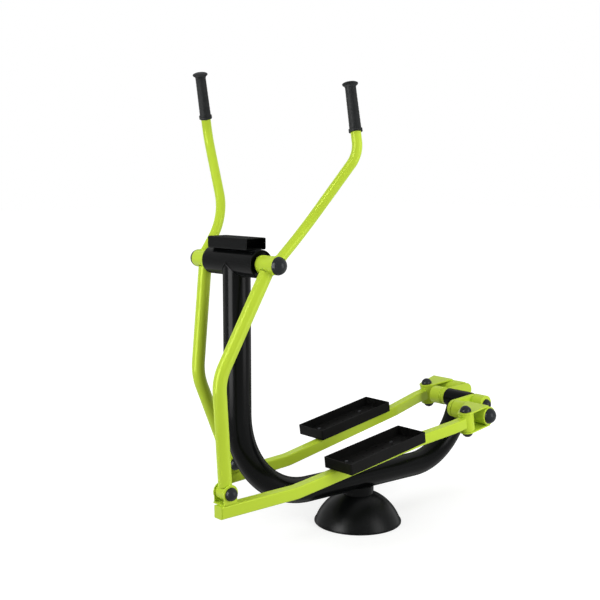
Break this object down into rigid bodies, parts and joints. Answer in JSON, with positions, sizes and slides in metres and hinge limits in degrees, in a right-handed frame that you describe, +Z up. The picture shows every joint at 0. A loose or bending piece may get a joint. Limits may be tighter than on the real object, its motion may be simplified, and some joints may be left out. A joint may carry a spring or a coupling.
{
  "type": "outdoor_cross_trainer",
  "caption": "Outdoor cross trainer: a bent black post on a domed foot carries green hand levers, foot bars with pedal trays and rear cranks",
  "frame": {"origin": "centre of the base flange's underside, on the ground", "axes": "+X from the hand levers to the rear cranks, +Y to the user's right, +Z up"},
  "size_m": [1.4727, 0.617, 1.5919],
  "materials": {
    "green_paint": "glossy powder coat",
    "black_paint": "glossy powder coat",
    "tray_paint": "satin powder coat",
    "cover_plastic": "glossy",
    "cap_plastic": "satin",
    "grip_rubber": "matte",
    "bush_nylon": "matte",
    "bare_steel": "brushed"
  },
  "bodies": {
    "frame": {"frame_tube": "black_paint", "end_plates": "black_paint", "head_tube": "black_paint", "console_tube": "black_paint", "neck_tube": "black_paint", "base_flange": "black_paint", "base_ribs": "black_paint", "base_cover": "cover_plastic", "head_shaft": "bare_steel", "head_nuts": "bare_steel", "crank_housing": "black_paint", "crank_bearings": "bare_steel"},
    "crank": {"crank_axle": "bare_steel", "crank_arm_left": "green_paint", "crank_arm_right": "green_paint", "crank_hubs": "green_paint", "crank_caps": "cap_plastic"},
    "lever_left": {"lever_hub_left": "green_paint", "hub_bushes_left": "bush_nylon", "handle_left": "green_paint", "grip_left": "grip_rubber", "lower_arm_left": "green_paint", "pivot_bush_left": "bush_nylon", "hub_cap_left": "cap_plastic"},
    "bar_left": {"foot_bar_left": "green_paint", "bar_end_left": "green_paint", "front_bracket_left": "green_paint", "front_pin_left": "bare_steel", "front_caps_left": "cap_plastic", "pedal_left": "tray_paint", "pedal_bolts_left": "bare_steel", "swivel_boss_left": "green_paint"},
    "clevis_left": {"clevis_left": "green_paint", "pin_tube_left": "green_paint", "swivel_bolt_left": "bare_steel", "swivel_caps_left": "cap_plastic", "crank_pin_left": "bare_steel", "pin_cap_left": "cap_plastic"},
    "lever_right": {"lever_hub_right": "green_paint", "hub_bushes_right": "bush_nylon", "handle_right": "green_paint", "grip_right": "grip_rubber", "lower_arm_right": "green_paint", "pivot_bush_right": "bush_nylon", "hub_cap_right": "cap_plastic"},
    "bar_right": {"foot_bar_right": "green_paint", "bar_end_right": "green_paint", "front_bracket_right": "green_paint", "front_pin_right": "bare_steel", "front_caps_right": "cap_plastic", "pedal_right": "tray_paint", "pedal_bolts_right": "bare_steel", "swivel_boss_right": "green_paint"},
    "clevis_right": {"clevis_right": "green_paint", "pin_tube_right": "green_paint", "swivel_bolt_right": "bare_steel", "swivel_caps_right": "cap_plastic", "crank_pin_right": "bare_steel", "pin_cap_right": "cap_plastic"}
  },
  "joints": [
    {"name": "crank_turn", "type": "hinge", "parent": "frame", "child": "crank", "pos_m": [0.5716, 0, 0.3642], "axis": [0, -1, 0], "range_deg": [0, 75]},
    {"name": "lever_left_swing", "type": "hinge", "parent": "frame", "child": "lever_left", "pos_m": [-0.551, -0.16, 0.977], "axis": [0, -1, 0], "range_deg": [-0.02, 7.63]},
    {"name": "bar_left_pitch", "type": "hinge", "parent": "lever_left", "child": "bar_left", "pos_m": [-0.71146, -0.1412, 0.29358], "axis": [0, -1, 0], "range_deg": [-12.25, 0.02]},
    {"name": "clevis_left_swivel", "type": "hinge", "parent": "bar_left", "child": "clevis_left", "pos_m": [0.36947, -0.197, 0.34367], "axis": [-0.1679, 0, 0.9858], "range_deg": [-1.5, 1.5]},
    {"name": "lever_right_swing", "type": "hinge", "parent": "frame", "child": "lever_right", "pos_m": [-0.551, 0.16, 0.977], "axis": [0, -1, 0], "range_deg": [-6.46, 0.02]},
    {"name": "bar_right_pitch", "type": "hinge", "parent": "lever_right", "child": "bar_right", "pos_m": [-0.474, 0.1412, 0.27924], "axis": [0, -1, 0], "range_deg": [-0.02, 12.08]},
    {"name": "clevis_right_swivel", "type": "hinge", "parent": "bar_right", "child": "clevis_right", "pos_m": [0.6055, 0.197, 0.35409], "axis": [-0.1905, 0, 0.9817], "range_deg": [-1.5, 1.5]}
  ],
  "couplings": [
    {"joint": "lever_left_swing", "follows": "crank_turn", "ratio": 0.10145},
    {"joint": "bar_left_pitch", "follows": "crank_turn", "ratio": -0.16301},
    {"joint": "lever_right_swing", "follows": "crank_turn", "ratio": -0.085912},
    {"joint": "bar_right_pitch", "follows": "crank_turn", "ratio": 0.16083}
  ]
}
